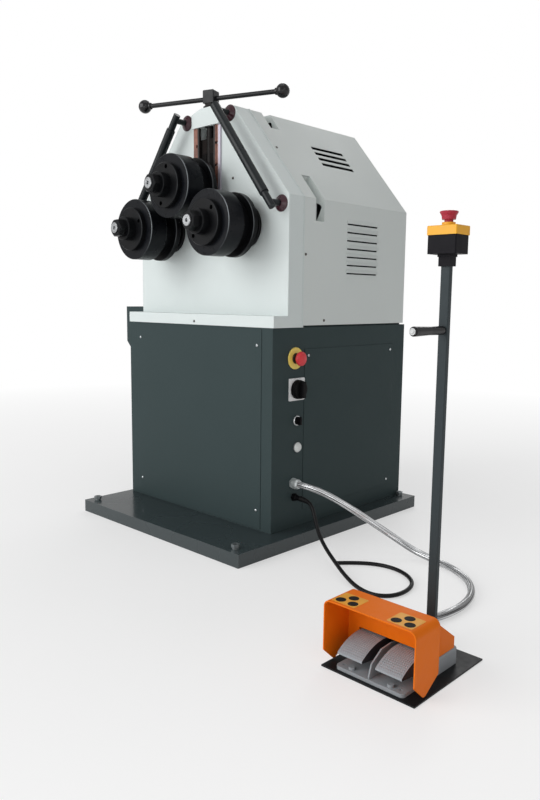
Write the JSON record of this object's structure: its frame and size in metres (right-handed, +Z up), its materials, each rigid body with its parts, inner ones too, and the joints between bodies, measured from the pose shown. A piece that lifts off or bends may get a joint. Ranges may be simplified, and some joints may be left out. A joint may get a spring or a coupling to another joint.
{
  "type": "ring roller",
  "caption": "Motor-driven ring roller: three overhung rolls on a floor cabinet, top roll set by a screw with a cross handle, and a foot-switch pedestal on a conduit.",
  "frame": {"origin": "centre of the rectangle of the four floor anchors, on the floor", "axes": "+Z up; -Y towards the operator, where the roll shafts stick out; +X to the operator's right, towards the control side and the pedestal"},
  "size_m": [1.4615, 1.031, 1.269],
  "materials": {
    "anthracite_paint": "satin",
    "white_paint": "satin",
    "hood_paint": "satin",
    "orange_paint": "semi-gloss",
    "black_oxide": "black oxide, turned",
    "bright_steel": "machined",
    "bare_steel": "machined",
    "bronze": "machined bronze",
    "zinc": "zinc plated",
    "maroon": "satin",
    "gearbox_paint": "painted casting",
    "black_paint": "satin",
    "black_plastic": "moulded",
    "gloss_black": "polished phenolic",
    "red_plastic": "moulded",
    "yellow_plastic": "moulded",
    "grey_plastic": "moulded",
    "lamp_lens": "translucent white",
    "cable_rubber": "cable sheath",
    "pedal_grey": "moulded",
    "control_gear": "moulded"
  },
  "bodies": {
    "machine": {"base_plate": "anthracite_paint", "levelling_screws": "zinc", "cabinet_shell": "anthracite_paint", "front_panel": "anthracite_paint", "side_panel": "anthracite_paint", "panel_screws": "zinc", "tool_tray": "anthracite_paint", "contactor_panel": "control_gear", "front_casing": "white_paint", "front_plate": "white_paint", "rear_plate": "bare_steel", "tie_bars": "bare_steel", "cap_block": "white_paint", "guide_rails": "bronze", "bearing_units": "bare_steel", "hood": "hood_paint", "gearmotor": "gearbox_paint", "guard_bars": "black_paint", "guard_bar_rosettes": "maroon", "estop_ring": "yellow_plastic", "switch_plate": "grey_plastic", "selector_bezel": "bright_steel", "pilot_lamp": "lamp_lens", "conduit_gland": "zinc", "lead_gland": "black_plastic", "conduit": "zinc", "supply_lead": "cable_rubber", "pedestal": "anthracite_paint", "column_grip": "black_plastic", "estop_box": "black_plastic", "estop_box_lid": "yellow_plastic", "foot_base": "pedal_grey", "pedal_guard": "orange_paint"},
    "screw": {"adjusting_screw": "bare_steel", "handle_hub": "black_oxide", "handle_bar": "black_oxide", "ball_knobs": "gloss_black"},
    "slide": {"carriage": "bare_steel", "carriage_nut": "bronze"},
    "top_roll": {"top_shaft": "bright_steel", "top_front_roll": "black_oxide", "top_rear_roll": "black_oxide", "top_roll_clamp": "black_oxide"},
    "right_roll": {"right_shaft": "bright_steel", "right_front_roll": "black_oxide", "right_rear_roll": "black_oxide", "right_roll_clamp": "black_oxide", "right_gear": "bare_steel"},
    "left_roll": {"left_shaft": "bright_steel", "left_front_roll": "black_oxide", "left_rear_roll": "black_oxide", "left_roll_clamp": "black_oxide", "left_gear": "bare_steel"},
    "pinion": {"drive_pinion": "bare_steel"},
    "stop_button": {"estop_button": "red_plastic"},
    "main_switch": {"switch_knob": "black_plastic"},
    "selector": {"selector_knob": "black_plastic"},
    "pedestal_stop": {"pedestal_button": "red_plastic"},
    "pedal_left": {"left_pedal": "pedal_grey"},
    "pedal_right": {"right_pedal": "pedal_grey"}
  },
  "joints": [
    {"name": "right_roll_turn", "type": "hinge", "parent": "machine", "child": "right_roll", "pos_m": [0.148, -0.2, 0.876], "axis": [0, 1, 0], "continuous": true},
    {"name": "left_roll_turn", "type": "hinge", "parent": "machine", "child": "left_roll", "pos_m": [-0.178, -0.2, 0.876], "axis": [0, 1, 0], "continuous": true},
    {"name": "pinion_turn", "type": "hinge", "parent": "machine", "child": "pinion", "pos_m": [-0.015, 0.1, 0.8277], "axis": [0, 1, 0], "continuous": true},
    {"name": "screw_turn", "type": "hinge", "parent": "machine", "child": "screw", "pos_m": [-0.015, -0.1608, 1.19], "axis": [0, 0, 1], "range_deg": [-2520, 1800]},
    {"name": "slide_lift", "type": "slide", "parent": "machine", "child": "slide", "axis": [0, 0, 1], "range_m": [-0.0421, 0.0301]},
    {"name": "top_roll_turn", "type": "hinge", "parent": "slide", "child": "top_roll", "pos_m": [-0.015, -0.2, 0.9856], "axis": [0, 1, 0], "continuous": true},
    {"name": "stop_button_press", "type": "slide", "parent": "machine", "child": "stop_button", "axis": [-1, 0, 0], "range_m": [0, 0.0045], "stiffness_N_per_m": 800, "springref_m": -0.004},
    {"name": "main_switch_turn", "type": "hinge", "parent": "machine", "child": "main_switch", "pos_m": [0.306, -0.132, 0.4305], "axis": [-1, 0, 0], "range_deg": [0, 90]},
    {"name": "selector_turn", "type": "hinge", "parent": "machine", "child": "selector", "pos_m": [0.306, -0.129, 0.3425], "axis": [-1, 0, 0], "range_deg": [-45, 45]},
    {"name": "pedestal_stop_press", "type": "slide", "parent": "machine", "child": "pedestal_stop", "axis": [0, 0, -1], "range_m": [0, 0.0045], "stiffness_N_per_m": 800, "springref_m": -0.004},
    {"name": "left_pedal_press", "type": "hinge", "parent": "machine", "child": "pedal_left", "pos_m": [0.884, -0.532, 0.028], "axis": [1, 0, 0], "range_deg": [0, 8], "stiffness_Nm_per_rad": 3, "springref_deg": -8.59},
    {"name": "right_pedal_press", "type": "hinge", "parent": "machine", "child": "pedal_right", "pos_m": [0.969, -0.532, 0.028], "axis": [1, 0, 0], "range_deg": [0, 8], "stiffness_Nm_per_rad": 3, "springref_deg": -8.59}
  ],
  "couplings": [
    {"joint": "left_roll_turn", "follows": "right_roll_turn", "ratio": 1},
    {"joint": "pinion_turn", "follows": "right_roll_turn", "ratio": -2.4},
    {"joint": "slide_lift", "follows": "screw_turn", "m_per_rad": 0.00095493}
  ]
}
